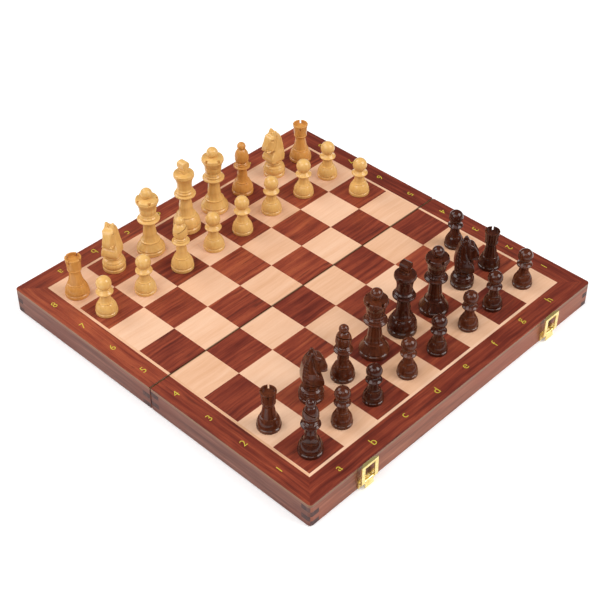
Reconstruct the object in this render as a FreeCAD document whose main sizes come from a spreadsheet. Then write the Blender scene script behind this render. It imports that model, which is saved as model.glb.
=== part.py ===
import FreeCAD, Part
import math
import os
import Sketcher
from FreeCAD import Vector, Rotation, Placement

# Folding chess set: two shallow trays hinged along their rims, veneered playing surface on
# top, thirty-four turned men.  Frame: +X from file a to file h, +Y from rank 1 to rank 8,
# +Z up, origin on the ground under the middle of the open board.

doc = FreeCAD.newDocument("chess_set")
dims = doc.addObject("Spreadsheet::Sheet", "dims")

CELLS = [
    # board
    ("square", 41.5), ("stringing", 2.7), ("border", 21.8), ("half_gap", 0.5),
    ("rim_height", 1.6), ("box_height", 25.0), ("veneer", 0.6), ("panel", 3.0),
    ("rail", 10.0), ("felt", 1.0), ("corner_radius", 3.5), ("seam_radius", 0.8),
    ("edge_radius", 0.5),
    # butt hinges let into the rims
    ("hinge_offset", 110.0), ("hinge_length", 30.0), ("hinge_depth", 9.0),
    ("leaf_thickness", 0.8), ("knuckle_radius", 1.5), ("hinge_pin_radius", 0.7),
    ("pin_clearance", 0.05), ("knuckle_gap", 0.15), ("rim_relief", 0.1),
    ("knuckle_relief", 0.4), ("screw_radius", 0.8), ("screw_head_radius", 1.7),
    ("screw_length", 7.0), ("screw_pitch", 10.0), ("screw_inset", 5.4),
    ("hinge_web_start", 0.9),
    # toggle clasps
    ("clasp_offset", 124.5), ("clasp_width", 20.0), ("plate_thickness", 0.8),
    ("pin_out", 3.0), ("pin_up", 7.0), ("clasp_pin_radius", 0.75), ("barrel_radius", 1.35),
    ("ear_gap", 0.15), ("ear_thickness", 0.7), ("ear_radius", 1.3), ("lever_width", 10.0),
    ("lever_thickness", 1.0), ("lever_length", 7.2), ("lever_lean", 12.0),
    ("loop_window", 12.0), ("loop_reach", 17.6), ("loop_bar", 2.8), ("loop_thickness", 1.2),
    ("loop_offset", 0.3), ("lip_depth", 3.1), ("lip_thickness", 1.1),
    ("catch_width", 16.0), ("catch_low", 4.0), ("catch_high", 14.0), ("bill_width", 8.0),
    ("bill_low", 8.6), ("bill_high", 10.3), ("bill_out", 3.9), ("bill_tip", 11.6),
    ("bill_tip_inner", 2.95), ("nail_radius", 0.6), ("nail_head_radius", 1.2),
    ("nail_head_height", 0.45), ("nail_length", 6.0),
    ("base_low", 0.6), ("base_high", 9.8), ("base_lip_high", 6.8), ("base_lip_depth", 1.3),
    ("base_nail_shift", 7.8), ("base_nail_height", 3.85), ("catch_nail_shift", 6.0),
    ("catch_nail_height", 9.0), ("pin_proud", 0.2), ("lever_back", 0.45),
    ("lever_root", 0.9), ("lever_lip", 1.05), ("lip_shoulder", 9.0), ("lip_end", 6.0),
    # men: overall height and base radius, the same for both colours but for rooks and pawns
    ("king_height", 78.4), ("king_radius", 13.7),
    ("queen_height", 72.8), ("queen_radius", 13.8),
    ("bishop_height", 59.4), ("bishop_radius", 11.0),
    ("knight_height", 54.0), ("knight_radius", 11.1),
    ("light_rook_height", 43.0), ("light_rook_radius", 11.5),
    ("dark_rook_height", 41.4), ("dark_rook_radius", 10.7),
    ("light_pawn_height", 41.0), ("light_pawn_radius", 10.4),
    ("dark_pawn_height", 41.0), ("dark_pawn_radius", 9.4),
]
for row, (alias, value) in enumerate(CELLS, start=1):
    dims.set("A%d" % row, alias)
    dims.set("B%d" % row, str(value))
    dims.setAlias("B%d" % row, alias)
doc.recompute()

VALUE = dict(CELLS)
AXIS_LETTERS = ("x", "y", "z")

# Expressions that several pieces share.
FIELD = "(4 * dims.square)"
FIELD_EDGE = "(4 * dims.square + dims.stringing)"
HALF_WIDTH = "(4 * dims.square + dims.stringing + dims.border)"
OUTER = "(dims.half_gap + 4 * dims.square + dims.stringing + dims.border)"
RIM = "dims.rim_height"
TOP = "(dims.rim_height + dims.box_height)"
PANEL_TOP = "(%s - dims.veneer)" % TOP
PANEL_LOW = "(%s - dims.veneer - dims.panel)" % TOP
FINGERS = 4
FINGER = "((%s - %s) / %d)" % (PANEL_LOW, RIM, FINGERS)
HINGE_AXIS = "(dims.rim_height - dims.rim_relief)"
PIN_Z = "(dims.rim_height + dims.pin_up)"
SIDES = (-1, 1)

# Marks a profile corner that a ball's arc leads to.
BALL = 2.0
EDGE_TOLERANCE = 0.01

exported = []


# ---------------------------------------------------------------- helpers

def keep(obj, label):
    """Mark a document object as one sub-part, labelled with its file name."""
    obj.Label = label
    exported.append(obj)
    return obj


def span(low, high):
    """Lowest value and length expressions of the stretch between two expressions."""
    return low, "(%s) - (%s)" % (high, low)


def mirrored(sign, low, high):
    """The stretch low..high, or its mirror image when sign is negative."""
    if sign > 0:
        return low, high
    return "-(%s)" % high, "-(%s)" % low


def block(x, y, z, name="block"):
    """A box between pairs of expressions along each axis."""
    box = doc.addObject("Part::Box", name)
    for axis, prop, (low, high) in zip(AXIS_LETTERS, ("Length", "Width", "Height"), (x, y, z)):
        start, length = span(low, high)
        box.setExpression(prop, length)
        box.setExpression("Placement.Base." + axis, start)
    return box


def rod(radius, length, start, direction, name="rod"):
    """A cylinder of an expression radius and length from a start point along an axis."""
    cylinder = doc.addObject("Part::Cylinder", name)
    cylinder.setExpression("Radius", radius)
    cylinder.setExpression("Height", length)
    turn = Rotation(Vector(0, 0, 1), Vector(*direction))
    cylinder.Placement = Placement(Vector(0, 0, 0), turn)
    for axis, value in zip(AXIS_LETTERS, start):
        cylinder.setExpression("Placement.Base." + axis, value)
    return cylinder


def fused(shapes, name="fused"):
    if len(shapes) == 1:
        return shapes[0]
    union = doc.addObject("Part::MultiFuse", name)
    union.Shapes = shapes
    return union


def less(base, tools, name="cut"):
    """Base with the tools taken away."""
    result = doc.addObject("Part::Cut", name)
    result.Base = base
    result.Tool = fused(tools) if isinstance(tools, list) else tools
    return result


def within(base, limit, name="common"):
    result = doc.addObject("Part::Common", name)
    result.Base = base
    result.Tool = limit
    return result


def group(members, label):
    """Several separate solids that make one named sub-part."""
    compound = doc.addObject("Part::Compound", label)
    compound.Links = members
    return keep(compound, label)


def origin_plane(body, role):
    """One of the body's own origin planes or axes."""
    for feature in body.Origin.OriginFeatures:
        if feature.Role == role:
            return feature
    raise ValueError(role)


def sketch_on(body, role, name, lift=None):
    """A sketch on one of the body's own planes, lifted off it by an expression."""
    sketch = body.newObject("Sketcher::SketchObject", name)
    sketch.AttachmentSupport = [(origin_plane(body, role), "")]
    sketch.MapMode = "FlatFace"
    if lift:
        sketch.setExpression("AttachmentOffset.Base.z", lift)
    return sketch


def measure(expression):
    """The number that an expression of the sheet's cells gives."""
    text = expression
    for alias in sorted(VALUE, key=len, reverse=True):
        text = text.replace("dims." + alias, repr(VALUE[alias]))
    return float(doc.dims.evalExpression(text))


def outline(sketch, points):
    """A closed outline of straight runs and arcs through (x, y, bulge) corners.

    x and y are expressions and bulge is the tangent of a quarter of the arc that leads to
    the corner: 0 for a straight run, positive for an arc that bows to the right.  BALL is an
    arc about a centre on the upright axis, which ends on that axis.
    """
    corners = [Vector(measure(x), measure(y), 0) for x, y, bulge in points]
    runs = []
    for index, (x, y, bulge) in enumerate(points):
        start = corners[index - 1]
        end = corners[index]
        if bulge == BALL:
            runs.append(ball_arc(start, end))
        elif bulge:
            runs.append(arc_between(start, end, bulge))
        else:
            runs.append(Part.LineSegment(start, end))
    sketch.addGeometry(runs, False)
    rules = []
    bound = []
    for index, (x, y, bulge) in enumerate(points):
        following = (index + 1) % len(points)
        end_mark = 1 if bulge < 0 else 2
        start_mark = 2 if points[following][2] < 0 else 1
        rules.append(Sketcher.Constraint("Coincident", index, end_mark, following, start_mark))
        for kind, value, coordinate in (("DistanceX", x, corners[index].x),
                                        ("DistanceY", y, corners[index].y)):
            bound.append((len(rules), value))
            rules.append(Sketcher.Constraint(kind, -1, 1, index, end_mark, coordinate))
        if bulge == BALL:
            rules.append(Sketcher.Constraint("PointOnObject", index, 3, -2))
        elif bulge:
            rules.append(Sketcher.Constraint("Radius", index, runs[index].Radius))
    sketch.addConstraint(rules)
    for place, value in bound:
        sketch.setExpression("Constraints[%d]" % place, value)
    return sketch


def ball_arc(start, end):
    """Arc from start up to the top of a ball centred on the upright axis."""
    rise = end.y - start.y
    radius = (start.x ** 2 + rise ** 2) / (2 * rise)
    circle = Part.Circle(Vector(0, end.y - radius, 0), Vector(0, 0, 1), radius)
    begin = math.atan2(start.y - circle.Center.y, start.x)
    return Part.ArcOfCircle(circle, begin, math.pi / 2)


def arc_between(start, end, bulge):
    """Circular arc from start to end; a positive bulge runs counter-clockwise."""
    chord = end - start
    angle = 4 * math.atan(abs(bulge))
    radius = chord.Length / (2 * math.sin(angle / 2))
    middle = (start + end) * 0.5
    across = Vector(-chord.y, chord.x, 0).normalize()
    offset = radius * math.cos(angle / 2)
    centre = middle + across * (offset if bulge > 0 else -offset)
    circle = Part.Circle(centre, Vector(0, 0, 1), radius)
    first, last = (start, end) if bulge > 0 else (end, start)
    begin = math.atan2(first.y - centre.y, first.x - centre.x)
    finish = math.atan2(last.y - centre.y, last.x - centre.x)
    if finish < begin:
        finish += 2 * math.pi
    return Part.ArcOfCircle(circle, begin, finish)


def pad(body, sketch, length, centred=False, name="pad"):
    feature = body.newObject("PartDesign::Pad", name)
    feature.Profile = sketch
    feature.setExpression("Length", length)
    if centred:
        feature.SideType = "Symmetric"
    return feature


def place(body, x=None, y=None, z=None):
    """Bind a body's placement to expressions."""
    for axis, value in zip(AXIS_LETTERS, (x, y, z)):
        if value:
            body.setExpression("Placement.Base." + axis, value)


def plate(points, low, thickness, name="plate"):
    """A flat plate with a straight-sided outline, lying at a height."""
    body = doc.addObject("PartDesign::Body", name)
    sketch = sketch_on(body, "XY_Plane", name + "_outline", lift=low)
    outline(sketch, [(x, y, 0) for x, y in points])
    pad(body, sketch, thickness, name=name + "_pad")
    return body


# ---------------------------------------------------------------- board halves

def envelope(name, sign):
    """Outer form of one half: rounded corners in plan and a slightly rounded top edge."""
    body = doc.addObject("PartDesign::Body", name + "_envelope")
    sketch = sketch_on(body, "XY_Plane", name + "_plan", lift=RIM)
    inner, outer = mirrored(sign, "dims.half_gap", OUTER)
    outline(sketch, [("-" + HALF_WIDTH, inner, 0), (HALF_WIDTH, inner, 0),
                     (HALF_WIDTH, outer, 0), ("-" + HALF_WIDTH, outer, 0)])
    block_pad = pad(body, sketch, "dims.box_height", name=name + "_block")
    doc.recompute()
    far = measure(OUTER)
    outer_uprights = upright_edges(block_pad, lambda y: abs(y) > far / 2)
    corners = round_edges(body, block_pad, outer_uprights, "corner_radius", name + "_corners")
    seam = upright_edges(corners, lambda y: abs(y) < far / 2)
    softened = round_edges(body, corners, seam, "seam_radius", name + "_seam_corners")
    rim = top_edges(softened)
    round_edges(body, softened, rim, "edge_radius", name + "_top_edge")
    return body


def upright_edges(feature, wanted):
    """Names of the upright edges whose y is wanted."""
    names = []
    for number, edge in enumerate(feature.Shape.Edges, start=1):
        box = edge.BoundBox
        if max(box.XLength, box.YLength) < EDGE_TOLERANCE and wanted(box.Center.y):
            names.append("Edge%d" % number)
    return names


def top_edges(feature):
    """Names of the edges that lie in the top plane."""
    names = []
    top = feature.Shape.BoundBox.ZMax
    for number, edge in enumerate(feature.Shape.Edges, start=1):
        box = edge.BoundBox
        if min(box.ZMin, 2 * top - box.ZMax) > top - EDGE_TOLERANCE:
            names.append("Edge%d" % number)
    return names


def round_edges(body, feature, edges, radius, name):
    fillet = body.newObject("PartDesign::Fillet", name)
    fillet.Base = (feature, edges)
    fillet.setExpression("Radius", "dims." + radius)
    doc.recompute()
    return fillet


def finger_blocks(x, y, fingers):
    """Blocks over the numbered fingers of a corner, counted down from the panel."""
    blocks = []
    for finger in fingers:
        high = "%s - %d * %s" % (PANEL_LOW, finger - 1, FINGER)
        low = "%s - %d * %s" % (PANEL_LOW, finger, FINGER)
        blocks.append(block(x, y, (low, high), "finger"))
    return blocks


def corner_fingers(y, fingers):
    """The numbered fingers at both ends of a cross rail."""
    blocks = []
    for side in SIDES:
        x = mirrored(side, "%s - dims.rail" % HALF_WIDTH, HALF_WIDTH)
        blocks += finger_blocks(x, y, fingers)
    return blocks


RAIL_LABELS = {"outer": "%s_rail", "seam": "%s_seam_rail"}


def rails(half, sign, limit, cross_fingers, fixings):
    """Four finger-jointed rails: an outer rail, a seam rail and two side rails."""
    side_fingers = [n for n in range(1, FINGERS + 1) if n not in cross_fingers]
    across = {
        "outer": mirrored(sign, "%s - dims.rail" % OUTER, OUTER),
        "seam": mirrored(sign, "dims.half_gap", "dims.half_gap + dims.rail"),
    }
    for role, y in across.items():
        blank = block(("-" + HALF_WIDTH, HALF_WIDTH), y, (RIM, PANEL_LOW), "rail_blank")
        shaped = less(blank, corner_fingers(y, side_fingers) + fixings[role])
        keep(within(shaped, limit), RAIL_LABELS[role] % half)
    for side, hand in zip(SIDES, ("left", "right")):
        x = mirrored(side, "%s - dims.rail" % HALF_WIDTH, HALF_WIDTH)
        whole_y = mirrored(sign, "dims.half_gap", OUTER)
        blank = block(x, whole_y, (RIM, PANEL_LOW), "rail_blank")
        notches = finger_blocks(x, across["outer"], cross_fingers)
        notches += finger_blocks(x, across["seam"], cross_fingers)
        keep(within(less(blank, notches), limit), "%s_%s_rail" % (half, hand))


def squares(sign, parity):
    """The sixteen squares of one colour on one half."""
    pieces = []
    for file in range(8):
        for step in range(4):
            rank = 4 + step if sign > 0 else 3 - step
            if (file + rank) % 2 != parity:
                continue
            x = ("%d * dims.square" % (file - 4), "%d * dims.square" % (file - 3))
            y = mirrored(sign, "dims.half_gap + %d * dims.square" % step,
                         "dims.half_gap + %d * dims.square" % (step + 1))
            pieces.append(block(x, y, (PANEL_TOP, TOP), "square"))
    return pieces


def frame_strips(sign, inner, outer, name):
    """Three mitred strips of veneer between two rectangles, open at the seam."""
    def corner(edge, y_edge, side):
        return ("%d * %s" % (side, edge), "%d * (dims.half_gap + %s)" % (sign, y_edge))

    strips = [plate([corner(inner, inner, -1), corner(inner, inner, 1),
                     corner(outer, outer, 1), corner(outer, outer, -1)],
                    PANEL_TOP, "dims.veneer", name + "_long")]
    for side in SIDES:
        seam_inner = ("%d * %s" % (side, inner), "%d * dims.half_gap" % sign)
        seam_outer = ("%d * %s" % (side, outer), "%d * dims.half_gap" % sign)
        strips.append(plate([seam_inner, corner(inner, inner, side),
                             corner(outer, outer, side), seam_outer],
                            PANEL_TOP, "dims.veneer", name + "_short"))
    return strips


def board_half(half, sign, cross_fingers, fixings):
    limit = envelope(half, sign)
    inner, outer = mirrored(sign, "dims.half_gap", OUTER)
    whole = ("-" + HALF_WIDTH, HALF_WIDTH)
    panel_blank = block(whole, (inner, outer), (PANEL_LOW, PANEL_TOP), "panel_blank")
    keep(within(panel_blank, limit), half + "_panel")
    border = [within(strip, limit) for strip in frame_strips(sign, FIELD_EDGE, HALF_WIDTH, half)]
    group(squares(sign, 0) + border, half + "_rosewood_veneer")
    group(squares(sign, 1) + frame_strips(sign, FIELD, FIELD_EDGE, half + "_stringing"),
          half + "_maple_veneer")
    rails(half, sign, limit, cross_fingers, fixings)
    lining_x = ("-(%s - dims.rail)" % HALF_WIDTH, "%s - dims.rail" % HALF_WIDTH)
    lining_y = mirrored(sign, "dims.half_gap + dims.rail", "%s - dims.rail" % OUTER)
    keep(block(lining_x, lining_y, ("%s - dims.felt" % PANEL_LOW, PANEL_LOW)),
         half + "_felt_lining")


# ---------------------------------------------------------------- hinges

KNUCKLES = 5


def screw(x, y):
    """Countersunk screw driven up into a rim, its head flush with the leaf."""
    head = doc.addObject("Part::Cone", "screw_head")
    head.setExpression("Radius1", "dims.screw_head_radius")
    head.setExpression("Radius2", "dims.screw_radius")
    head.setExpression("Height", "dims.leaf_thickness")
    for axis, value in zip(AXIS_LETTERS, (x, y, RIM)):
        head.setExpression("Placement.Base." + axis, value)
    shank = rod("dims.screw_radius", "dims.screw_length", (x, y, RIM), (0, 0, 1), "shank")
    return fused([head, shank], "screw")


def hinge_screws(sign):
    y = "%d * (dims.half_gap + dims.screw_inset)" % sign
    places = []
    for side in SIDES:
        for step in (-1, 0, 1):
            places.append("%d * dims.hinge_offset + %d * dims.screw_pitch" % (side, step))
    return [screw(x, y) for x in places]


def knuckle_span(centre, number, gap):
    """Start and end of one knuckle along the hinge, narrowed by a gap at each end."""
    pitch = "dims.hinge_length / %d" % KNUCKLES
    first = "%s - dims.hinge_length / 2 + %d * %s" % (centre, number, pitch)
    return "%s + %s" % (first, gap), "%s + %s - %s" % (first, pitch, gap)


def hinge_leaf(sign, centre, numbers, screws):
    """One leaf of a butt hinge with its own knuckles, bored for the pin and the screws."""
    clear = "(dims.knuckle_radius + dims.knuckle_relief)"
    ends = ("%s - dims.hinge_length / 2" % centre, "%s + dims.hinge_length / 2" % centre)
    flat = mirrored(sign, clear, "dims.half_gap + dims.hinge_depth")
    level = (RIM, "%s + dims.leaf_thickness" % RIM)
    metal = [block(ends, flat, level, "leaf")]
    for number in numbers:
        low, high = knuckle_span(centre, number, "dims.knuckle_gap")
        reach = mirrored(sign, "dims.hinge_web_start", clear)
        metal.append(block((low, high), reach, level, "knuckle_web"))
        metal.append(rod("dims.knuckle_radius", "(%s) - (%s)" % (high, low),
                         (low, "0", HINGE_AXIS), (1, 0, 0), "knuckle"))
    bore = rod("dims.hinge_pin_radius + dims.pin_clearance", "dims.hinge_length",
               (ends[0], "0", HINGE_AXIS), (1, 0, 0), "bore")
    return less(fused(metal, "leaf_metal"), [bore] + screws, "hinge_leaf")


def hinge_mortise(sign, centre):
    """Space in a seam rail for a leaf and for the whole barrel."""
    ends = ("%s - dims.hinge_length / 2" % centre, "%s + dims.hinge_length / 2" % centre)
    recess = block(ends, mirrored(sign, "0", "dims.half_gap + dims.hinge_depth"),
                   (RIM, "%s + dims.leaf_thickness" % RIM), "leaf_recess")
    barrel_y = mirrored(sign, "0", "dims.knuckle_radius + dims.knuckle_relief")
    barrel = block(ends, barrel_y,
                   (RIM, "%s + dims.knuckle_radius + dims.knuckle_relief" % HINGE_AXIS),
                   "barrel_recess")
    return [recess, barrel]


def hinge_pin(centre):
    return rod("dims.hinge_pin_radius", "dims.hinge_length",
               ("%s - dims.hinge_length / 2" % centre, "0", HINGE_AXIS), (1, 0, 0), "hinge_pin")


# ---------------------------------------------------------------- clasps

def nail(x, sign, z):
    """Round-headed nail through a plate into an outer rail; sign -1 front, 1 rear."""
    face = "%d * (%s + dims.plate_thickness)" % (sign, OUTER)
    shank = rod("dims.nail_radius", "dims.nail_length", (x, face, z), (0, -sign, 0), "nail_shank")
    head = rod("dims.nail_head_radius", "dims.nail_head_height", (x, face, z),
               (0, sign, 0), "nail_head")
    return fused([shank, head], "nail")


def nail_pair(side, sign, shift, height):
    """Two nails either side of a clasp's middle, at a height above the rim."""
    return [nail("%d * dims.clasp_offset + %d * %s" % (side, end, shift), sign,
                 "%s + %s" % (RIM, height)) for end in SIDES]


def above_rim(low, high):
    """Stretch between two cells measured up from the rims."""
    return "%s + dims.%s" % (RIM, low), "%s + dims.%s" % (RIM, high)


def outward(depth):
    """Distance out from the front rail's face, as a y expression."""
    return "-(%s + %s)" % (OUTER, depth)


def base_plate(side, nails):
    """Clasp plate with two upturned ends and two ears that carry the pin."""
    centre = "%d * dims.clasp_offset" % side
    half = "dims.clasp_width / 2"
    face = (outward("dims.plate_thickness"), outward("0"))
    metal = [block(("%s - %s" % (centre, half), "%s + %s" % (centre, half)), face,
                   above_rim("base_low", "base_high"), "base_sheet")]
    for end in SIDES:
        edge = "%s + %d * (%s - dims.plate_thickness)" % (centre, end, half)
        tip = "%s + %d * %s" % (centre, end, half)
        low, high = (edge, tip) if end > 0 else (tip, edge)
        metal.append(block((low, high), (outward("dims.base_lip_depth"), outward("0")),
                           above_rim("base_low", "base_lip_high"), "end_lip"))
        near = "dims.lever_width / 2 + dims.ear_gap"
        inner = "%s + %d * (%s)" % (centre, end, near)
        outer = "%s + %d * (%s + dims.ear_thickness)" % (centre, end, near)
        low, high = (inner, outer) if end > 0 else (outer, inner)
        metal.append(block((low, high), (outward("dims.pin_out"), outward("0")),
                           (PIN_Z + " - dims.ear_radius", PIN_Z + " + dims.ear_radius"),
                           "ear_web"))
        metal.append(rod("dims.ear_radius", "dims.ear_thickness",
                         (low, outward("dims.pin_out"), PIN_Z), (1, 0, 0), "ear_eye"))
    return less(fused(metal, "base_metal"), [clasp_pin(side)] + nails, "base_plate")


def clasp_pin(side):
    centre = "%d * dims.clasp_offset" % side
    return rod("dims.clasp_pin_radius", "dims.clasp_width + 2 * dims.pin_proud",
               ("%s - dims.clasp_width / 2 - dims.pin_proud" % centre,
                outward("dims.pin_out"), PIN_Z),
               (1, 0, 0), "clasp_pin")


def pin_frame(body, side, lean=None):
    """Put a body's origin on a clasp's pin, leaning outwards by an expression angle."""
    place(body, "%d * dims.clasp_offset" % side, outward("dims.pin_out"), PIN_Z)
    if lean:
        body.Placement = Placement(body.Placement.Base, Rotation(Vector(-1, 0, 0), 1))
        body.setExpression("Placement.Rotation.Angle", lean)


def barrel_bore(body, width, name):
    sketch = sketch_on(body, "YZ_Plane", name + "_bore_outline")
    ring(sketch, "dims.clasp_pin_radius + dims.pin_clearance")
    feature = body.newObject("PartDesign::Pocket", name + "_bore")
    feature.Profile = sketch
    feature.SideType = "Symmetric"
    feature.setExpression("Length", width)
    return feature


def ring(sketch, radius):
    sketch.addGeometry(Part.Circle(Vector(0, 0, 0), Vector(0, 0, 1), measure(radius)), False)
    sketch.addConstraint([Sketcher.Constraint("Coincident", 0, 3, -1, 1),
                          Sketcher.Constraint("Radius", 0, measure(radius))])
    sketch.setExpression("Constraints[1]", radius)


# Bulge of a quarter circle.
QUARTER = math.tan(math.pi / 8)


def lever(side, label):
    """Thumb lever: a rolled barrel on the pin, a flat tongue and a turned-in lip."""
    body = doc.addObject("PartDesign::Body", label)
    barrel = sketch_on(body, "YZ_Plane", label + "_barrel_outline")
    ring(barrel, "dims.barrel_radius")
    pad(body, barrel, "dims.lever_width", centred=True, name=label + "_barrel")
    tongue = sketch_on(body, "YZ_Plane", label + "_tongue_outline")
    back = "dims.lever_back"
    front = "(dims.lever_back - dims.lever_thickness)"
    root = "-dims.lever_root"
    bend = "-(dims.lever_length - dims.lever_lip + %s)" % front
    inner_end = "-(dims.lever_length - dims.lever_thickness)"
    lip = "dims.lever_lip"
    outline(tongue, [(back, root, 0), (front, root, 0), (front, bend, 0),
                     (lip, "-dims.lever_length", QUARTER), (lip, inner_end, 0),
                     (back, bend, -QUARTER)])
    pad(body, tongue, "dims.lever_width", centred=True, name=label + "_tongue")
    barrel_bore(body, "2 * dims.lever_width", label)
    pin_frame(body, side, "dims.lever_lean")
    return keep(body, label)


def loop(side, label):
    """Loop frame: two bars from barrels on the pin to a top bar with an inward lip."""
    near = "dims.loop_window / 2"
    far = "dims.clasp_width / 2"
    centre = "%d * dims.clasp_offset" % side
    sheet_y = (outward("dims.pin_out + dims.loop_offset + dims.loop_thickness"),
               outward("dims.pin_out + dims.loop_offset"))
    top_low = PIN_Z + " + dims.loop_reach"
    top_high = top_low + " + dims.loop_bar"
    metal = [block(("%s - %s" % (centre, far), "%s + %s" % (centre, far)), sheet_y,
                   (top_low, top_high), "top_bar")]
    for end in SIDES:
        low, high = (near, far) if end > 0 else ("-" + far, "-" + near)
        low = "%s + %s" % (centre, low)
        high = "%s + %s" % (centre, high)
        metal.append(block((low, high), sheet_y, (PIN_Z, top_high), "bar"))
        metal.append(rod("dims.barrel_radius", "%s - %s" % (far, near),
                         (low, outward("dims.pin_out"), PIN_Z), (1, 0, 0), "barrel"))
    root = outward("dims.pin_out + dims.loop_offset + dims.loop_thickness")
    tip = outward("dims.pin_out + dims.loop_offset + dims.loop_thickness - dims.lip_depth")
    metal.append(plate([("%s - %s" % (centre, far), root), ("%s + %s" % (centre, far), root),
                        ("%s + dims.lip_shoulder" % centre, outward("dims.pin_out")),
                        ("%s + dims.lip_end" % centre, tip),
                        ("%s - dims.lip_end" % centre, tip),
                        ("%s - dims.lip_shoulder" % centre, outward("dims.pin_out"))],
                       top_high + " - dims.lip_thickness", "dims.lip_thickness", "lip"))
    bore = rod("dims.clasp_pin_radius + dims.pin_clearance", "2 * dims.clasp_width",
               ("%s - dims.clasp_width" % centre, outward("dims.pin_out"), PIN_Z),
               (1, 0, 0), "loop_bore")
    return keep(less(fused(metal, "loop_metal"), [bore], "loop"), label)


def catch(side, nails):
    """Catch plate with a bill that hooks away from the rim."""
    centre = "%d * dims.clasp_offset" % side

    def across(width):
        return "%s - dims.%s / 2" % (centre, width), "%s + dims.%s / 2" % (centre, width)

    plate_y = (OUTER, "%s + dims.plate_thickness" % OUTER)
    metal = [block(across("catch_width"), plate_y, above_rim("catch_low", "catch_high"),
                   "catch_sheet"),
             block(across("bill_width"), (OUTER, "%s + dims.bill_out" % OUTER),
                   above_rim("bill_low", "bill_high"), "bill_root"),
             block(across("bill_width"), ("%s + dims.bill_tip_inner" % OUTER,
                                          "%s + dims.bill_out" % OUTER),
                   above_rim("bill_low", "bill_tip"), "bill_tip")]
    return less(fused(metal, "catch_metal"), nails, "catch")


# ---------------------------------------------------------------- men
# A turned profile is a list of (radius, height, bulge) corners, as fractions of the man's
# base radius and of its height.

def foot(disc, torus, ledge, height, swell):
    """Base disc, groove and torus up to a ledge; disc and height are heights.

    torus and ledge are radii, and swell is the bulge of the run between them."""
    return [(0.94, 0.0, 0), (1.0, disc * 0.25, 0.35), (1.0, disc, 0),
            (0.93, disc * 1.2, 0), (0.93, disc * 1.35, 0), (torus, disc * 1.6, 0.25),
            (ledge, height, swell), (ledge, height + 0.017, 0.3)]


PROFILES = {
    "pawn": foot(0.07, 0.98, 0.66, 0.300, 0.16) + [
        (0.60, 0.320, 0), (0.50, 0.40, -0.16), (0.45, 0.54, -0.05), (0.52, 0.552, 0),
        (0.745, 0.572, 0), (0.745, 0.608, 0.5), (0.50, 0.67, -0.1), (0.47, 0.695, 0),
        (0, 1.0, BALL)],
    "rook": foot(0.075, 0.98, 0.71, 0.300, 0.12) + [
        (0.65, 0.325, 0), (0.455, 0.60, -0.03), (0.455, 0.64, 0), (0.49, 0.66, 0),
        (0.56, 0.675, 0), (0.56, 0.705, 0.4), (0.535, 0.718, 0), (0.575, 0.74, 0.2),
        (0.67, 0.975, -0.03), (0.655, 1.0, 0.3), (0.55, 1.0, 0), (0.54, 0.93, 0), (0, 0.93, 0)],
    "bishop": foot(0.055, 0.98, 0.69, 0.225, 0.14) + [
        (0.62, 0.245, 0), (0.47, 0.38, -0.14), (0.39, 0.50, -0.04), (0.50, 0.51, 0),
        (0.75, 0.527, 0), (0.75, 0.550, 0.5), (0.58, 0.566, 0), (0.62, 0.584, 0.6),
        (0.52, 0.596, 0), (0.57, 0.610, 0.6), (0.50, 0.622, 0), (0.635, 0.71, 0.22),
        (0.36, 0.865, 0.20), (0.29, 0.877, 0), (0, 1.0, BALL)],
    "queen": foot(0.055, 0.955, 0.68, 0.172, -0.03) + [
        (0.61, 0.196, 0), (0.48, 0.30, -0.16), (0.41, 0.48, -0.04), (0.48, 0.49, 0),
        (0.76, 0.510, 0), (0.76, 0.536, 0.5), (0.60, 0.552, 0), (0.61, 0.573, 0.6),
        (0.54, 0.590, 0), (0.57, 0.606, 0.6), (0.545, 0.62, 0), (0.61, 0.71, 0.1),
        (0.765, 0.79, -0.04), (0.79, 0.82, 0.3), (0.74, 0.85, 0.3), (0.30, 0.868, 0.06),
        (0, 1.0, BALL)],
    "king": foot(0.06, 0.98, 0.69, 0.210, 0.19) + [
        (0.62, 0.232, 0), (0.49, 0.35, -0.14), (0.385, 0.49, -0.04), (0.48, 0.50, 0),
        (0.74, 0.514, 0), (0.74, 0.540, 0.5), (0.58, 0.553, 0), (0.64, 0.573, 0.6),
        (0.53, 0.588, 0), (0.57, 0.604, 0.6), (0.52, 0.618, 0), (0.535, 0.68, 0),
        (0.71, 0.785, -0.10), (0.725, 0.815, 0.3), (0.70, 0.836, 0.3), (0.28, 0.853, 0.06),
        (0.24, 0.872, -0.2), (0, 0.872, 0)],
    "knight": foot(0.058, 0.98, 0.90, 0.185, 0.30) + [
        (0.80, 0.225, 0.2), (0.68, 0.24, 0), (0.68, 0.262, 0), (0.74, 0.275, 0.5),
        (0.68, 0.288, 0), (0.68, 0.305, 0), (0.78, 0.33, 0), (0, 0.33, 0)],
}


def scaled(size, points):
    """Corners given as fractions of a man's base radius and height, as expressions."""
    return [("%g * dims.%s_radius" % (across, size), "%g * dims.%s_height" % (height, size), bulge)
            for across, height, bulge in points]


def turned(label, kind, size):
    """A body with the kind's profile turned about its own upright axis."""
    body = doc.addObject("PartDesign::Body", label)
    sketch = sketch_on(body, "XZ_Plane", label + "_profile")
    outline(sketch, [("0", "0", 0)] + scaled(size, PROFILES[kind]))
    spin = body.newObject("PartDesign::Revolution", label + "_turning")
    spin.Profile = sketch
    spin.ReferenceAxis = (sketch, ["V_Axis"])
    spin.Angle = 360
    return body


def pocket(body, sketch, name, length=None, centred=False, reverse=False):
    """Take a sketch's outline out of the body, through everything when no length is given."""
    feature = body.newObject("PartDesign::Pocket", name)
    feature.Profile = sketch
    if length:
        feature.setExpression("Length", length)
    else:
        feature.Type = "ThroughAll"
    if centred:
        feature.SideType = "Symmetric"
    feature.Reversed = reverse
    return feature


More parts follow.
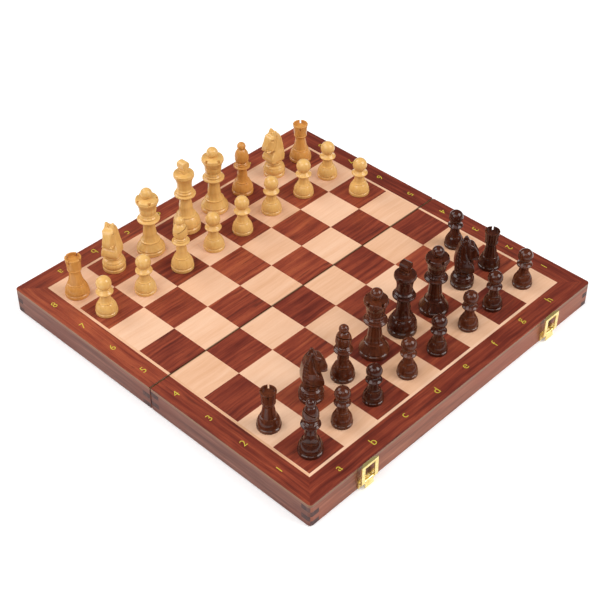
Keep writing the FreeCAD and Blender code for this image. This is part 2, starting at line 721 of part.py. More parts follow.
def cut_around(body, label, lift, points, times):
    """Cut an outline outwards from a plane at a distance from the axis, evenly all round."""
    sketch = sketch_on(body, "XZ_Plane", label + "_cut_outline", lift="-(%s)" % lift)
    outline(sketch, points)
    cut = pocket(body, sketch, label + "_cut")
    pattern = body.newObject("PartDesign::PolarPattern", label + "_cuts")
    pattern.Originals = [cut]
    pattern.Axis = (origin_plane(body, "Z_Axis"), [""])
    pattern.Angle = 360
    pattern.Occurrences = times
    body.Tip = pattern


# Saw cut through one side of the rook's wall, and where it starts from the axis.
ROOK_CUT = [(-0.065, 0.90, 0), (0.065, 0.90, 0), (0.065, 1.1, 0), (-0.065, 1.1, 0)]
ROOK_CUT_START = 0.50


def carve_rook(body, label, size):
    """Four saw cuts through the wall round the recess."""
    cut_around(body, label, "dims.%s_radius * %g" % (size, ROOK_CUT_START),
               scaled(size, ROOK_CUT), 4)


# Slanting saw cut into the bishop's mitre, side view.
MITRE_CUT = [(-0.20, 0.742, 0), (1.0, 0.852, 0), (1.0, 0.870, 0), (-0.20, 0.760, 0)]


def carve_bishop(body, label, size):
    """One slanting saw cut into the mitre."""
    sketch = sketch_on(body, "XZ_Plane", label + "_slot")
    outline(sketch, scaled(size, MITRE_CUT))
    pocket(body, sketch, label + "_cut", "dims.%s_radius * 2" % size, centred=True)


# Scallop in the rim of the queen's crown, and where it starts from the axis.
SCALLOP = [(-0.10, 0.832, 0), (0.10, 0.832, 0.9), (0.10, 0.90, 0), (-0.10, 0.90, 0)]
SCALLOP_START = 0.64


def carve_queen(body, label, size):
    """Five scallops gouged into the rim of the crown."""
    cut_around(body, label, "dims.%s_radius * %g" % (size, SCALLOP_START),
               scaled(size, SCALLOP), 5)


# Right half of the king's finial, from its foot up.
HALF_FINIAL = [
    (0.22, 0.845), (0.26, 0.872), (0.27, 0.900), (0.13, 0.913), (0.29, 0.927),
    (0.30, 0.965), (0.25, 0.990), (0.12, 1.0)]
FINIAL_THICKNESS = 0.64


def carve_king(body, label, size):
    """Block finial with a V notch across each of two sides."""
    right = [(across, height, 0) for across, height in HALF_FINIAL]
    left = [(-across, height, 0) for across, height in reversed(HALF_FINIAL)]
    sketch = sketch_on(body, "XZ_Plane", label + "_finial_outline")
    outline(sketch, scaled(size, right + left))
    pad(body, sketch, "dims.%s_radius * %g" % (size, FINIAL_THICKNESS), centred=True,
        name=label + "_finial")


# Side view of the knight's head, facing +X.
KNIGHT_HEAD = [
    (-0.62, 0.325, 0), (0.70, 0.325, 0), (0.96, 0.355, 0.2), (0.90, 0.450, 0.2),
    (0.52, 0.525, 0.1), (0.40, 0.565, -0.3), (0.62, 0.560, 0), (1.06, 0.565, 0),
    (1.14, 0.600, 0.2), (1.12, 0.740, 0.05), (0.98, 0.865, 0.1), (0.74, 0.905, 0.15),
    (0.42, 0.895, -0.1), (0.24, 0.930, 0), (0.06, 1.0, 0), (-0.14, 0.970, 0),
    (-0.46, 0.860, 0.1), (-0.70, 0.690, 0.08), (-0.76, 0.500, 0.08)]


# Front view of one of the knight's cheeks, from where the taper starts.
KNIGHT_CHEEK = [(0.60, 0.42, 0), (0.9, 0.42, 0), (0.9, 1.05, 0), (0.38, 1.05, 0)]


def carve_knight(body, label, size):
    """Head sawn from the side view, its cheeks tapering towards the top."""
    side_view = sketch_on(body, "XZ_Plane", label + "_head_outline")
    outline(side_view, scaled(size, KNIGHT_HEAD))
    pad(body, side_view, "dims.%s_radius * %g" % (size, 2 * KNIGHT_CHEEK[0][0]), centred=True,
        name=label + "_head")
    for side in SIDES:
        cheek = sketch_on(body, "YZ_Plane", "%s_cheek_%d" % (label, side))
        corners = [(side * across, height, bulge) for across, height, bulge in KNIGHT_CHEEK]
        outline(cheek, scaled(size, corners[::side]))
        pocket(body, cheek, "%s_cheek_cut_%d" % (label, side), "dims.%s_radius * 3" % size,
               centred=True)


CARVING = {"rook": carve_rook, "bishop": carve_bishop, "queen": carve_queen,
           "king": carve_king, "knight": carve_knight}

# Where each man stands: kind, square, offset from the square's centre as fractions of a
# square, and the turn about its own axis in degrees.
MEN = {
    "dark": [
        ("rook", "a2", -0.14, -0.03, 43), ("rook", "h2", -0.02, -0.06, 36),
        ("knight", "b2", 0.05, -0.07, -38), ("knight", "g2", 0.04, -0.02, -52),
        ("bishop", "a1", -0.05, -0.10, 150), ("bishop", "c2", -0.05, -0.12, 200),
        ("queen", "d2", -0.03, -0.09, 20), ("queen", "f2", -0.08, -0.12, 12),
        ("king", "e2", -0.08, -0.06, 5),
        ("pawn", "b1", -0.05, -0.02, 0), ("pawn", "c1", -0.13, -0.04, 0),
        ("pawn", "d1", -0.05, -0.04, 0), ("pawn", "e1", -0.07, -0.04, 0),
        ("pawn", "f1", 0.00, -0.03, 0), ("pawn", "g1", -0.11, 0.00, 0),
        ("pawn", "h1", -0.03, -0.01, 0), ("pawn", "h3", 0.01, 0.00, 0)],
    "light": [
        ("rook", "a8", -0.21, -0.06, 20), ("rook", "h8", 0.06, 0.01, 44),
        ("knight", "b8", -0.04, 0.05, 208), ("knight", "g8", 0.14, 0.03, 176),
        ("bishop", "f8", 0.06, 0.05, 60), ("bishop", "c7", 0.05, -0.07, -46),
        ("queen", "c8", -0.03, -0.07, 9), ("queen", "e8", 0.11, 0.04, 30),
        ("king", "d8", 0.13, -0.04, 0),
        ("pawn", "a7", -0.15, -0.01, 0), ("pawn", "b7", -0.08, -0.08, 0),
        ("pawn", "d7", 0.06, -0.05, 0), ("pawn", "e7", -0.04, -0.08, 0),
        ("pawn", "f7", -0.01, -0.02, 0), ("pawn", "g7", 0.03, -0.09, 0),
        ("pawn", "h7", -0.01, 0.01, 0), ("pawn", "h6", 0.02, -0.03, 0)],
}
OWN_SIZE_BY_COLOUR = ("rook", "pawn")


def man(colour, kind, square, shift_x, shift_y, turn):
    label = "%s_%s_%s" % (colour, kind, square)
    size = "%s_%s" % (colour, kind) if kind in OWN_SIZE_BY_COLOUR else kind
    body = turned(label, kind, size)
    if kind in CARVING:
        CARVING[kind](body, label, size)
    file = "abcdefgh".index(square[0]) - 3.5
    rank = int(square[1]) - 4.5
    body.Placement = Placement(Vector(0, 0, 0), Rotation(Vector(0, 0, 1), turn))
    seam = "dims.half_gap" if rank > 0 else "-dims.half_gap"
    place(body, "dims.square * %g" % (file + shift_x),
          "dims.square * %g + %s" % (rank + shift_y, seam), TOP)
    return keep(body, label)


# ---------------------------------------------------------------- assembly

FRONT, REAR = -1, 1
front_screws = hinge_screws(FRONT)
rear_screws = hinge_screws(REAR)
front_nails = [nail_pair(side, FRONT, "dims.base_nail_shift", "dims.base_nail_height")
               for side in SIDES]
rear_nails = [nail_pair(side, REAR, "dims.catch_nail_shift", "dims.catch_nail_height")
              for side in SIDES]


def mortises(sign):
    return [space for side in SIDES
            for space in hinge_mortise(sign, "%d * dims.hinge_offset" % side)]


board_half("front", FRONT, (1, 3), {"outer": front_nails[0] + front_nails[1],
                                    "seam": mortises(FRONT) + front_screws})
board_half("rear", REAR, (2, 4), {"outer": rear_nails[0] + rear_nails[1],
                                  "seam": mortises(REAR) + rear_screws})

hinge_centres = ["%d * dims.hinge_offset" % side for side in SIDES]
group([hinge_leaf(FRONT, hinge_centres[n], (0, 2, 4), front_screws[3 * n:3 * n + 3])
       for n in range(2)] + [hinge_pin(centre) for centre in hinge_centres],
      "hinge_leaves_front")
group([hinge_leaf(REAR, hinge_centres[n], (1, 3), rear_screws[3 * n:3 * n + 3])
       for n in range(2)], "hinge_leaves_rear")
group(front_screws + front_nails[0] + front_nails[1], "fixings_front")
group(rear_screws + rear_nails[0] + rear_nails[1], "fixings_rear")

group([base_plate(side, nails) for side, nails in zip(SIDES, front_nails)]
      + [clasp_pin(side) for side in SIDES], "clasp_base_plates")
for side, hand in zip(SIDES, ("left", "right")):
    lever(side, "clasp_lever_" + hand)
    loop(side, "clasp_loop_" + hand)
group([catch(side, nails) for side, nails in zip(SIDES, rear_nails)], "catch_plates")

for colour, men in MEN.items():
    for kind, square, shift_x, shift_y, turn in men:
        man(colour, kind, square, shift_x, shift_y, turn)

# ---------------------------------------------------------------- checks and export

doc.recompute()
for obj in doc.Objects:
    if "Invalid" in obj.State or "Error" in obj.State:
        raise RuntimeError("%s failed: %s" % (obj.Label, obj.State))
os.makedirs("parts", exist_ok=True)
for obj in exported:
    shape = obj.Shape
    if shape.isNull() or not shape.isValid():
        raise RuntimeError("%s has no valid shape" % obj.Label)
    shape.exportStep("parts/%s.step" % obj.Label)
print("%d sub-parts" % len(exported))
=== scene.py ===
"""Looks of the folding chess set: woods, brass, carved knights, coordinates and a studio."""

import math

import bmesh
import bpy
import numpy as np
from mathutils import Matrix, Vector


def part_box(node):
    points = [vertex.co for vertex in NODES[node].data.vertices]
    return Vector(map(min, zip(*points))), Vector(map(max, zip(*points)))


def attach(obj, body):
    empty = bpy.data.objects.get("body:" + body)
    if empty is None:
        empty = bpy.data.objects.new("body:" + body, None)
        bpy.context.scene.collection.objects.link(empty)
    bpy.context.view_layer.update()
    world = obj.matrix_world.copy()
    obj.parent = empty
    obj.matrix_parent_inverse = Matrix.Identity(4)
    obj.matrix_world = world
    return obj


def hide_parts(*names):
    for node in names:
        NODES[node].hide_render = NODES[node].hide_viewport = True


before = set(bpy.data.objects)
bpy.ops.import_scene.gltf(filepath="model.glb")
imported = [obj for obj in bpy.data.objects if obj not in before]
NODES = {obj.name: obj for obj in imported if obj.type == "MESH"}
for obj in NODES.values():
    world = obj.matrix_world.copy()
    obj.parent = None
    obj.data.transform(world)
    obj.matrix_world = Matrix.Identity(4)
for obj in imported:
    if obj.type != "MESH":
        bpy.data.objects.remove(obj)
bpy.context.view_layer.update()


# ---------------------------------------------------------------- sizes from the frame

HALF_WIDTH, _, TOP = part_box("front_rosewood_veneer")[1]
FIELD_EDGE, maple_end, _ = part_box("front_maple_veneer")[1]
SEAM = -maple_end                    # from the middle of the board to a half's own edge
STRINGING = 0.0027                   # width of the pale line around the squares
FIELD = FIELD_EDGE - STRINGING
SQUARE = FIELD / 4
BORDER_MIDDLE = (FIELD_EDGE + HALF_WIDTH) / 2
PANEL_LOW, PANEL_TOP = (corner[2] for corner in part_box("front_panel"))
CLASP_X = sum(corner[0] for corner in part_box("clasp_lever_right")) / 2


# ---------------------------------------------------------------- material building blocks

class Graph:
    """Writes the nodes of one material."""

    def __init__(self, name):
        self.material = bpy.data.materials.new(name)
        self.material.use_nodes = True
        self.nodes = self.material.node_tree.nodes
        self.links = self.material.node_tree.links
        self.shader = self.nodes["Principled BSDF"]

    def feed(self, socket, value):
        if isinstance(value, bpy.types.NodeSocket):
            self.links.new(value, socket)
        else:
            socket.default_value = value

    def add(self, kind, inputs, output=0, **settings):
        node = self.nodes.new("ShaderNode" + kind)
        for name, value in settings.items():
            setattr(node, name, value)
        for key, value in inputs.items():
            self.feed(node.inputs[key], value)
        return node.outputs[output]

    def calc(self, operation, a, b=0.0, c=0.0):
        return self.add("Math", {0: a, 1: b, 2: c}, operation=operation)

    def blend(self, share, a, b):
        return self.add("Mix", {0: share, 2: a, 3: b}, data_type="FLOAT")

    def tint(self, share, a, b, mode="MIX"):
        return self.add("Mix", {0: share, 6: a, 7: b}, output=2, data_type="RGBA",
                        blend_type=mode)

    def place(self):
        coordinates = self.add("TexCoord", {}, output="Object")
        return self.split(coordinates)

    def split(self, vector):
        node = self.nodes.new("ShaderNodeSeparateXYZ")
        self.feed(node.inputs[0], vector)
        return node.outputs[0], node.outputs[1], node.outputs[2]

    def vector(self, x, y, z):
        return self.add("CombineXYZ", {0: x, 1: y, 2: z})

    def stretched(self, point, scales):
        """A point with each coordinate multiplied by its own scale."""
        return self.vector(*[self.calc("MULTIPLY", part, scale)
                             for part, scale in zip(point, scales)])

    def noise(self, vector, scale=1.0, detail=2.0, roughness=0.5, distortion=0.0):
        return self.add("TexNoise", {"Vector": vector, "Scale": scale, "Detail": detail,
                                     "Roughness": roughness, "Distortion": distortion})

    def step(self, value, low, high):
        """0 below low, 1 above high and a smooth rise between."""
        return self.add("MapRange", {0: value, 1: low, 2: high, 3: 0.0, 4: 1.0},
                        interpolation_type="SMOOTHSTEP")

    def ramp(self, value, stops):
        node = self.nodes.new("ShaderNodeValToRGB")
        self.feed(node.inputs[0], value)
        elements = node.color_ramp.elements
        while len(elements) < len(stops):
            elements.new(0.5)
        for element, (position, colour) in zip(elements, stops):
            element.position = position
            element.color = (*colour, 1.0)
        return node.outputs[0]

    def bump(self, height, distance, strength=1.0):
        normal = self.add("Bump", {"Height": height, "Distance": distance,
                                   "Strength": strength})
        self.feed(self.shader.inputs["Normal"], normal)

    def finish(self, colour, roughness, **fixed):
        """Feed colour and roughness, and set the shader's other sockets to plain values."""
        self.feed(self.shader.inputs["Base Color"], colour)
        self.feed(self.shader.inputs["Roughness"], roughness)
        for name, value in fixed.items():
            self.shader.inputs[name.replace("_", " ")].default_value = value
        return self.material


def wood_figure(g, along, across, depth, offset, streak, wave):
    """Long streaks, waviness and pores of a wood cut along its grain; 0..1 each.

    streak is the width of one streak in metres and wave how far the grain wanders."""
    start = g.calc("MULTIPLY", offset, 7.0)
    drift = g.noise(g.vector(g.calc("MULTIPLY", along, 22), g.calc("MULTIPLY", across, 22), start))
    wander = g.calc("MULTIPLY", g.calc("SUBTRACT", drift, 0.5), wave)
    bent = g.calc("ADD", across, wander)
    broad = g.noise(g.vector(g.calc("MULTIPLY_ADD", along, 9, start),
                             g.calc("MULTIPLY", bent, 1 / streak / 2.6),
                             g.calc("MULTIPLY_ADD", depth, 150, start)), detail=3)
    fine = g.noise(g.vector(g.calc("MULTIPLY_ADD", along, 30, start),
                            g.calc("MULTIPLY", bent, 1 / streak * 1.6),
                            g.calc("MULTIPLY_ADD", depth, 500, start)), detail=4, roughness=0.65)
    pores = g.noise(g.vector(g.calc("MULTIPLY_ADD", along, 170, start),
                             g.calc("MULTIPLY", bent, 2600),
                             g.calc("MULTIPLY", depth, 2600)), detail=1)
    return broad, fine, pores


def board_cells(g):
    """Grain coordinates on the playing face and a random number for each square or strip."""
    x, y, z = g.place()
    wide = g.calc("ABSOLUTE", x)
    deep = g.calc("ABSOLUTE", y)
    in_field = g.calc("LESS_THAN", g.calc("MAXIMUM", wide, deep), FIELD + SEAM)
    side_strip = g.calc("MULTIPLY", g.calc("GREATER_THAN", wide, deep),
                        g.calc("SUBTRACT", 1.0, in_field))
    along = g.blend(side_strip, x, y)
    across = g.blend(side_strip, y, x)
    past_seam = g.calc("MULTIPLY", g.calc("SIGN", y), SEAM)
    file = g.calc("FLOOR", g.calc("DIVIDE", x, SQUARE))
    rank = g.calc("FLOOR", g.calc("DIVIDE", g.calc("SUBTRACT", y, past_seam), SQUARE))
    strip = g.calc("MULTIPLY_ADD", g.calc("SIGN", across), 20.0, g.calc("SIGN", y))
    cell = g.vector(g.blend(in_field, strip, file), g.blend(in_field, side_strip, rank), 0.0)
    chance = g.add("TexWhiteNoise", {"Vector": cell}, noise_dimensions="3D")
    return along, across, z, in_field, side_strip, chance


# ---------------------------------------------------------------- materials
# Noise scales are in cells to the metre along each axis.  A list of tones holds (place on the
# ramp, linear colour).  Lengths are in metres.

# How much darker or paler than the squares each border strip is.
FRONT_STRIP = -0.12
BACK_STRIP = 0.05
LEFT_STRIP = 0.02
RIGHT_STRIP = -0.09

SEAM_SHADE = 0.35
SEAM_SHADE_WIDTH = 0.0011
ROSEWOOD_TONES = [(0.30, (0.080, 0.011, 0.007)), (0.44, (0.165, 0.026, 0.014)),
                  (0.57, (0.275, 0.052, 0.024)), (0.74, (0.430, 0.105, 0.042))]
ROSEWOOD_VEIN = (0.050, 0.010, 0.008, 1)
ROSEWOOD_PORE = (0.045, 0.010, 0.006, 1)
MAPLE_TONES = [(0.25, (0.680, 0.375, 0.212)), (0.48, (0.765, 0.455, 0.285)),
               (0.75, (0.830, 0.535, 0.360))]
MAPLE_FLECK = (0.60, 0.34, 0.20, 1)


def seam_shade(g):
    """1 on the face, falling to SEAM_SHADE where the edge rolls into the seam."""
    from_middle = g.calc("ABSOLUTE", g.place()[1])
    gap = g.calc("SUBTRACT", from_middle, SEAM)
    return g.blend(g.step(gap, 0.0, SEAM_SHADE_WIDTH), SEAM_SHADE, 1.0)


def rosewood():
    """Dark squares and mitred border: clouds, fine streaks, dark veins and open pores."""
    g = Graph("rosewood")
    along, across, depth, in_field, side_strip, chance = board_cells(g)
    broad, fine, pores = wood_figure(g, along, across, depth, chance, 0.0013, 0.005)
    x, y, _ = g.place()
    clouds = g.noise(g.vector(g.calc("MULTIPLY_ADD", along, 26, chance),
                              g.calc("MULTIPLY", across, 75), chance), detail=2)
    tone = g.calc("ADD", g.calc("MULTIPLY", broad, 0.40), g.calc("MULTIPLY", fine, 0.40))
    tone = g.calc("ADD", tone, g.calc("MULTIPLY", clouds, 0.26))
    tone = g.calc("ADD", tone, g.calc("MULTIPLY", g.calc("SUBTRACT", chance, 0.5), 0.13))
    side = g.blend(g.step(x, -0.01, 0.01), LEFT_STRIP, RIGHT_STRIP)
    end = g.blend(g.step(y, -0.01, 0.01), FRONT_STRIP, BACK_STRIP)
    tone = g.calc("ADD", tone, g.blend(in_field, g.blend(side_strip, end, side), 0.0))
    colour = g.ramp(tone, ROSEWOOD_TONES)
    veins = g.noise(g.vector(g.calc("MULTIPLY_ADD", along, 13, chance),
                             g.calc("MULTIPLY_ADD", broad, 3.0, g.calc("MULTIPLY", across, 300)),
                             chance), detail=2)
    veins = g.calc("MULTIPLY", g.step(veins, 0.60, 0.69), 0.55)
    colour = g.tint(veins, colour, ROSEWOOD_VEIN)
    dark = g.step(pores, 0.60, 0.72)
    colour = g.tint(g.calc("MULTIPLY", dark, 0.4), colour, ROSEWOOD_PORE)
    colour = g.tint(1.0, colour, seam_shade(g), "MULTIPLY")
    g.bump(g.calc("SUBTRACT", g.calc("MULTIPLY", fine, 0.3), dark), 0.00003, 0.30)
    rough = g.calc("MULTIPLY_ADD", fine, 0.16, 0.26)
    return g.finish(colour, rough, Coat_Weight=0.06, Coat_Roughness=0.14, IOR=1.38)


def maple():
    """Pale squares and stringing: soft streaks and small darker flecks."""
    g = Graph("maple")
    along, across, depth, _, _, chance = board_cells(g)
    broad, fine, pores = wood_figure(g, along, across, depth, chance, 0.0030, 0.006)
    tone = g.calc("ADD", g.calc("MULTIPLY", broad, 0.55), g.calc("MULTIPLY", fine, 0.45))
    tone = g.calc("ADD", tone, g.calc("MULTIPLY", g.calc("SUBTRACT", chance, 0.5), 0.28))
    colour = g.ramp(tone, MAPLE_TONES)
    flecks = g.step(pores, 0.62, 0.74)
    colour = g.tint(g.calc("MULTIPLY", flecks, 0.22), colour, MAPLE_FLECK)
    colour = g.tint(1.0, colour, seam_shade(g), "MULTIPLY")
    g.bump(fine, 0.00002, 0.25)
    rough = g.calc("MULTIPLY_ADD", fine, 0.15, 0.29)
    return g.finish(colour, rough, Coat_Weight=0.06, Coat_Roughness=0.15, IOR=1.38)


# Dark, middle and pale wood of the rails that run along x, then of those that run along y.
RAIL_TONES = (((0.110, 0.024, 0.011), (0.260, 0.080, 0.040), (0.400, 0.150, 0.084)),
              ((0.075, 0.018, 0.010), (0.165, 0.054, 0.034), (0.265, 0.105, 0.070)))
END_GRAIN_TONES = [(0.30, (0.040, 0.020, 0.018)), (0.50, (0.078, 0.036, 0.032)),
                   (0.70, (0.135, 0.064, 0.052))]

# Each pair says where the fade at one side of the painted shadow behind a clasp starts and ends.
CLASP_PAINTED_SHADOW = (0.050, 0.016, 0.004, 1)
CLASP_PAINTED_SHADOW_HALF_WIDTH = (0.0062, 0.0046)
CLASP_PAINTED_SHADOW_FOOT = (0.0100, 0.0125)
CLASP_PAINTED_SHADOW_HEAD = (0.0235, 0.0215)
CLASP_PAINTED_SHADOW_FRONT = (-0.18, -0.185)


def clasp_stain(g, point):
    """1 on the patches of the front rail that show through the clasp loops, where shadow is
    painted.
    """
    x, y, z = point
    from_clasp = g.calc("ABSOLUTE", g.calc("SUBTRACT", g.calc("ABSOLUTE", x), CLASP_X))
    patch = g.calc("MULTIPLY", g.step(from_clasp, *CLASP_PAINTED_SHADOW_HALF_WIDTH),
                   g.step(y, *CLASP_PAINTED_SHADOW_FRONT))
    patch = g.calc("MULTIPLY", patch, g.step(z, *CLASP_PAINTED_SHADOW_FOOT))
    return g.calc("MULTIPLY", patch, g.step(z, *CLASP_PAINTED_SHADOW_HEAD))


def end_grain(g, point):
    """Dark, soft-edged colour of the sawn ends in the finger joints."""
    speckle = g.noise(g.stretched(point, (900, 900, 900)), detail=2)
    blots = g.noise(g.stretched(point, (130, 130, 170)), detail=1)
    tone = g.calc("ADD", g.calc("MULTIPLY", blots, 0.65), g.calc("MULTIPLY", speckle, 0.35))
    return g.ramp(tone, END_GRAIN_TONES)


def rail_wood(name, axis):
    """Stained softwood with its grain along an axis and end grain where the grain comes out."""
    g = Graph(name)
    point = g.place()
    broad, fine, pores = wood_figure(g, point[axis], point[2], point[1 - axis],
                                     0.3 + 0.2 * axis, 0.0020, 0.004)
    tone = g.calc("ADD", g.calc("MULTIPLY", broad, 0.55), g.calc("MULTIPLY", fine, 0.45))
    dark, middle, pale = RAIL_TONES[axis]
    colour = g.ramp(tone, [(0.34, dark), (0.50, middle), (0.66, pale)])
    patch = g.noise(g.stretched(point, (14, 14, 30)), detail=2)
    reddish = g.step(patch, 0.44, 0.70)
    red = (middle[0], middle[1] * 0.7, middle[2] * 0.6, 1)
    colour = g.tint(g.calc("MULTIPLY", reddish, 0.5), colour, red)
    # Painted shadow: the rail is darkened behind the clasp loops, where their shadow falls.
    colour = g.tint(g.calc("MULTIPLY", clasp_stain(g, point), 0.70), colour, CLASP_PAINTED_SHADOW)
    normal = g.split(g.add("TexCoord", {}, output="Normal"))
    cut = g.step(g.calc("ABSOLUTE", normal[axis]), 0.62, 0.78)
    colour = g.tint(cut, colour, end_grain(g, point))
    g.bump(g.calc("SUBTRACT", fine, g.calc("MULTIPLY", pores, 0.5)), 0.00005, 0.4)
    rough = g.calc("ADD", g.calc("MULTIPLY_ADD", fine, 0.18, 0.38), g.calc("MULTIPLY", cut, 0.15))
    return g.finish(colour, rough, Coat_Weight=0.0, IOR=1.38)


PLY_TONES = [(0.00, (0.22, 0.085, 0.048)), (0.34, (0.27, 0.105, 0.060)),
             (0.38, (0.20, 0.075, 0.040)), (0.66, (0.23, 0.090, 0.046)),
             (0.74, (0.25, 0.145, 0.048)), (1.00, (0.30, 0.180, 0.062))]
PLY_FIBRES = [(0.3, (0.70, 0.66, 0.62)), (0.6, (1.0, 1.0, 1.0))]


def plywood():
    """Stained plies on the panel's edge, with a thin golden one under the veneer."""
    g = Graph("plywood")
    point = g.place()
    height = g.calc("DIVIDE", g.calc("SUBTRACT", point[2], PANEL_LOW), PANEL_TOP - PANEL_LOW)
    jitter = g.noise(g.stretched(point, (60, 60, 60)), detail=3)
    level = g.calc("MULTIPLY_ADD", g.calc("SUBTRACT", jitter, 0.5), 0.08, height)
    plies = g.ramp(level, PLY_TONES)
    fibres = g.noise(g.stretched(point, (120, 120, 2400)), detail=3)
    colour = g.tint(0.8, plies, g.ramp(fibres, PLY_FIBRES), "MULTIPLY")
    g.bump(fibres, 0.00005, 0.5)
    return g.finish(colour, g.calc("MULTIPLY_ADD", fibres, 0.2, 0.35), IOR=1.48)


TURNED_STOPS = (0.22, 0.50, 0.82)
RUB_RADIUS = 0.0006


def turned_wood(name, colours, seed, gloss, rub):
    """Upright-grained wood of the men: streaks, faint rings and rubbed edges."""
    g = Graph(name)
    x, y, z = g.place()
    streaks = g.noise(g.vector(g.calc("MULTIPLY_ADD", x, 520, seed), g.calc("MULTIPLY", y, 520),
                               g.calc("MULTIPLY", z, 26)), detail=4, roughness=0.6)
    rings = g.noise(g.vector(g.calc("MULTIPLY", x, 190), g.calc("MULTIPLY_ADD", y, 190, seed),
                             g.calc("MULTIPLY", z, 9)), detail=1, distortion=1.2)
    cloud = g.noise(g.vector(g.calc("MULTIPLY_ADD", x, 45, seed), g.calc("MULTIPLY", y, 45),
                             g.calc("MULTIPLY", z, 30)), detail=1)
    tone = g.calc("ADD", g.calc("MULTIPLY", streaks, 0.40), g.calc("MULTIPLY", rings, 0.25))
    tone = g.calc("ADD", tone, g.calc("MULTIPLY", cloud, 0.35))
    colour = g.ramp(tone, list(zip(TURNED_STOPS, colours)))
    rounded = g.add("Bevel", {"Radius": RUB_RADIUS}, samples=4)
    plain_normal = g.add("NewGeometry", {}, output="Normal")
    bend = g.add("VectorMath", {0: rounded, 1: plain_normal}, output="Value",
                 operation="DOT_PRODUCT")
    worn = g.calc("MULTIPLY", g.step(g.calc("SUBTRACT", 1.0, bend), 0.02, 0.16),
                  g.step(g.noise(g.stretched((x, y, z), (700, 700, 700))), 0.30, 0.65))
    share, bare_wood = rub
    colour = g.tint(g.calc("MULTIPLY", worn, share), colour, (*bare_wood, 1))
    g.bump(streaks, 0.00001, 0.06)
    rough = g.calc("MULTIPLY_ADD", streaks, 0.06, gloss)
    return g.finish(colour, rough, Coat_Weight=0.12, Coat_Roughness=gloss * 0.8, IOR=1.36)


BRASS_TONES = [(0.30, (0.74, 0.52, 0.15)), (0.50, (0.91, 0.73, 0.29)),
               (0.70, (0.96, 0.82, 0.40))]
FELT_TONES = [(0.30, (0.012, 0.060, 0.028)), (0.50, (0.025, 0.120, 0.055)),
              (0.72, (0.060, 0.210, 0.105))]
GOLD_TONES = [(0.3, (0.50, 0.40, 0.030)), (0.6, (0.72, 0.60, 0.070))]


def brass(name, polish):
    """Pale pressed brass with brushed lines and duller stains."""
    g = Graph(name)
    point = g.place()
    rub = g.noise(g.stretched(point, (900, 250, 2600)), detail=3)
    stain = g.noise(g.stretched(point, (210, 210, 210)), detail=3, roughness=0.6)
    colour = g.ramp(stain, BRASS_TONES)
    g.bump(g.calc("ADD", rub, g.calc("MULTIPLY", stain, 0.6)), 0.00003, 0.25)
    rough = g.calc("ADD", g.calc("MULTIPLY_ADD", rub, 0.14, polish),
                   g.calc("MULTIPLY", g.step(stain, 0.55, 0.35), 0.10))
    return g.finish(colour, rough, Metallic=0.85, IOR=1.5)


def felt():
    """Green baize with loose fuzz."""
    g = Graph("felt")
    point = g.place()
    fuzz = g.noise(g.stretched(point, (1400, 1400, 1400)), detail=4, roughness=0.7)
    clump = g.noise(g.stretched(point, (160, 160, 160)), detail=3)
    tone = g.calc("ADD", g.calc("MULTIPLY", fuzz, 0.6), g.calc("MULTIPLY", clump, 0.4))
    colour = g.ramp(tone, FELT_TONES)
    g.bump(tone, 0.0004, 0.8)
    return g.finish(colour, 0.95, Sheen_Weight=0.6, Sheen_Roughness=0.4, IOR=1.4)


def gold_paint():
    """Yellow paint of the coordinates."""
    g = Graph("gold_paint")
    point = g.place()
    grain = g.noise(g.stretched(point, (2500, 2500, 2500)), detail=2)
    colour = g.ramp(grain, GOLD_TONES)
    return g.finish(colour, g.calc("MULTIPLY_ADD", grain, 0.2, 0.3), Metallic=0.10)


# ---------------------------------------------------------------- carried-over nodes

BOXWOOD = [(0.62, 0.31, 0.075), (0.74, 0.43, 0.135), (0.84, 0.55, 0.220)]
BOXWOOD_WARM = [(0.46, 0.17, 0.030), (0.62, 0.28, 0.065), (0.74, 0.39, 0.120)]
STAINED = [(0.010, 0.003, 0.0013), (0.050, 0.010, 0.0040), (0.125, 0.032, 0.010)]
STAINED_RED = [(0.020, 0.005, 0.002), (0.085, 0.019, 0.007), (0.190, 0.050, 0.016)]
PALE_RUB = (0.20, (0.90, 0.70, 0.40))
ORANGE_RUB = (0.55, (0.28, 0.090, 0.024))
WARM_MEN = ("light_rook_a8", "light_rook_h8", "light_bishop_f8")

light_woods = [turned_wood("boxwood_%d" % n, BOXWOOD, 3.0 * n, 0.17, PALE_RUB) for n in range(3)]
warm_wood = turned_wood("boxwood_warm", BOXWOOD_WARM, 11.0, 0.22, PALE_RUB)
dark_woods = [turned_wood("stained_%d" % n, colours, 5.0 * n + 2, 0.13, ORANGE_RUB)
              for n, colours in enumerate((STAINED, STAINED_RED))]
bright_brass = brass("polished_brass", 0.20)
plain_brass = brass("plain_brass", 0.26)
cross_rail = rail_wood("rail_cross", 0)
side_rail = rail_wood("rail_side", 1)

METAL_EDGE = 0.00018
METAL_EDGE_ANGLE = math.radians(40)


def paint(node, material):
    node.data.materials.clear()
    node.data.materials.append(material)


def man_wood(name, number):
    if name in WARM_MEN:
        return warm_wood
    woods = light_woods if name.startswith("light") else dark_woods
    return woods[number % len(woods)]


# The first ending that fits is taken, so the side rails stand before the plain "_rail".
MATERIAL_BY_ENDING = {
    "rosewood_veneer": rosewood(), "maple_veneer": maple(), "panel": plywood(),
    "felt_lining": felt(), "left_rail": side_rail, "right_rail": side_rail,
    "_rail": cross_rail,
}


def material_for(name, number):
    if name.startswith(("light_", "dark_")):
        return man_wood(name, number)
    for ending, material in MATERIAL_BY_ENDING.items():
        if name.endswith(ending):
            return material
    return plain_brass if name.startswith(("fixings", "hinge")) else bright_brass


